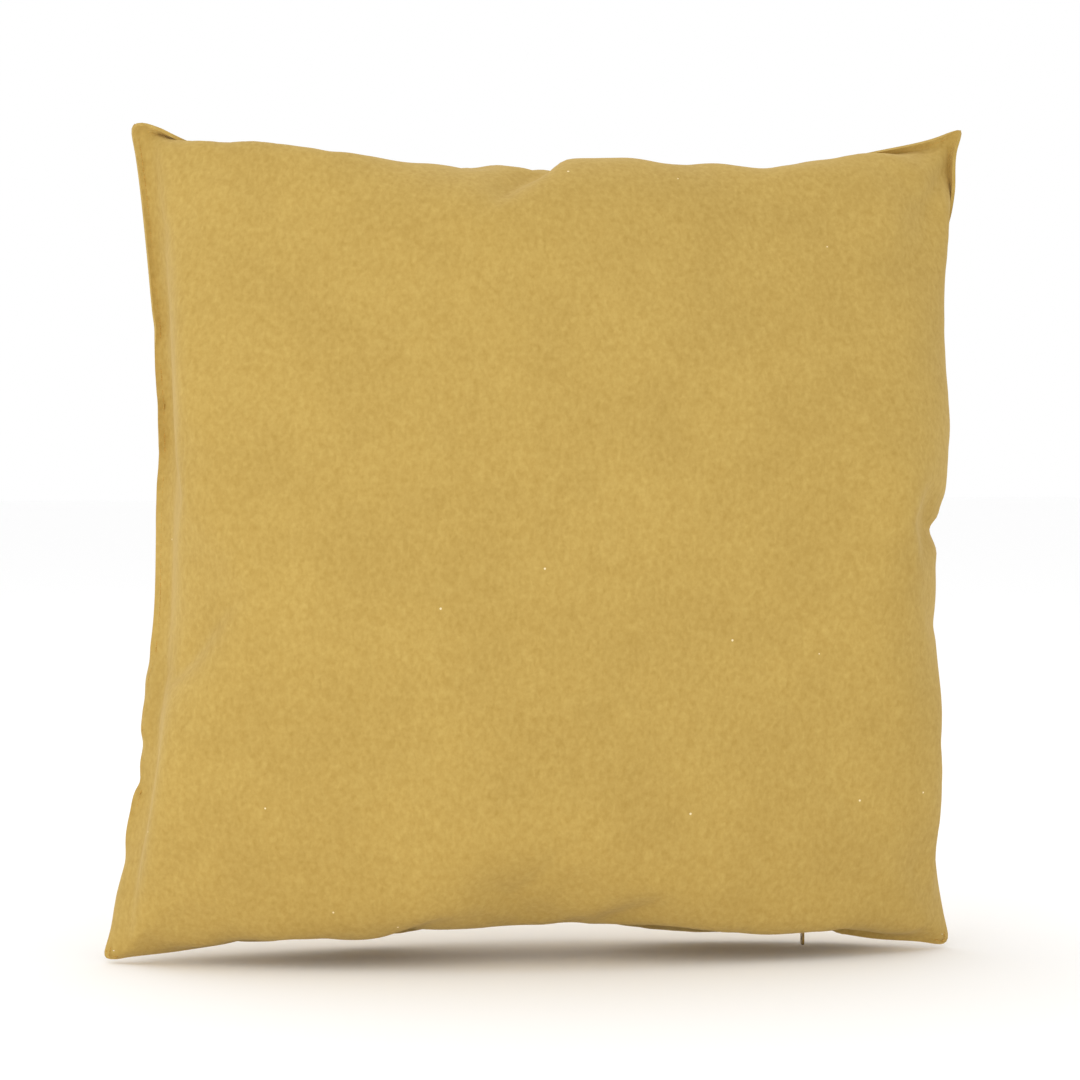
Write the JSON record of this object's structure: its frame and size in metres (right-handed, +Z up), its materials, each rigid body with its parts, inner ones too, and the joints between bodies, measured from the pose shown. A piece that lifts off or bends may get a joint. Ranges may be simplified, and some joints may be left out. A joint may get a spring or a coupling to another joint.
{
  "type": "throw pillow",
  "caption": "Square throw pillow: zipped brushed-cloth cover with a topstitched edge lip and flat ears over a fibre-filled insert, standing on its lower edge.",
  "frame": {"origin": "centre of the bounding box's base, on the floor that the pillow stands on", "axes": "+X to the right across the pillow's width, -Y out of the front panel, +Z up"},
  "size_m": [0.4328, 0.1566, 0.4259],
  "materials": {
    "cover_cloth": "brushed mustard cloth",
    "cover_thread": "spun polyester thread",
    "zip_tape": "woven polyester tape",
    "zip_coil": "nylon monofilament coil",
    "zip_metal": "antique brass plate",
    "label_satin": "satin ribbon",
    "insert_ticking": "white cotton ticking",
    "insert_thread": "spun polyester thread",
    "fill_fibre": "loose polyester fibre"
  },
  "bodies": {
    "cushion": {"cover_front_panel": "cover_cloth", "cover_back_panel": "cover_cloth", "cover_seam_thread": "cover_thread", "edge_topstitch_front": "cover_thread", "edge_topstitch_back": "cover_thread", "zip_tape_front": "zip_tape", "zip_tape_back": "zip_tape", "zip_coil_front": "zip_coil", "zip_coil_back": "zip_coil", "zip_stitching_front": "cover_thread", "zip_stitching_back": "cover_thread", "zip_bar_tacks": "cover_thread", "zip_top_stops": "zip_metal", "zip_bottom_stop": "zip_metal", "care_label": "label_satin", "insert_front_ticking": "insert_ticking", "insert_back_ticking": "insert_ticking", "insert_seam_thread": "insert_thread", "insert_closing_thread": "insert_thread", "insert_label": "label_satin", "fibre_fill": "fill_fibre"},
    "slider": {"zip_slider": "zip_metal"},
    "pull": {"zip_pull": "zip_metal"}
  },
  "joints": [
    {"name": "zip_slide", "type": "slide", "parent": "cushion", "child": "slider", "axis": [-1, 0, 0], "range_m": [0, 0.2454]},
    {"name": "pull_swing", "type": "hinge", "parent": "slider", "child": "pull", "pos_m": [0.1352, -0.01367, 0.0161], "axis": [0, 1, 0], "range_deg": [-88, 88]}
  ]
}
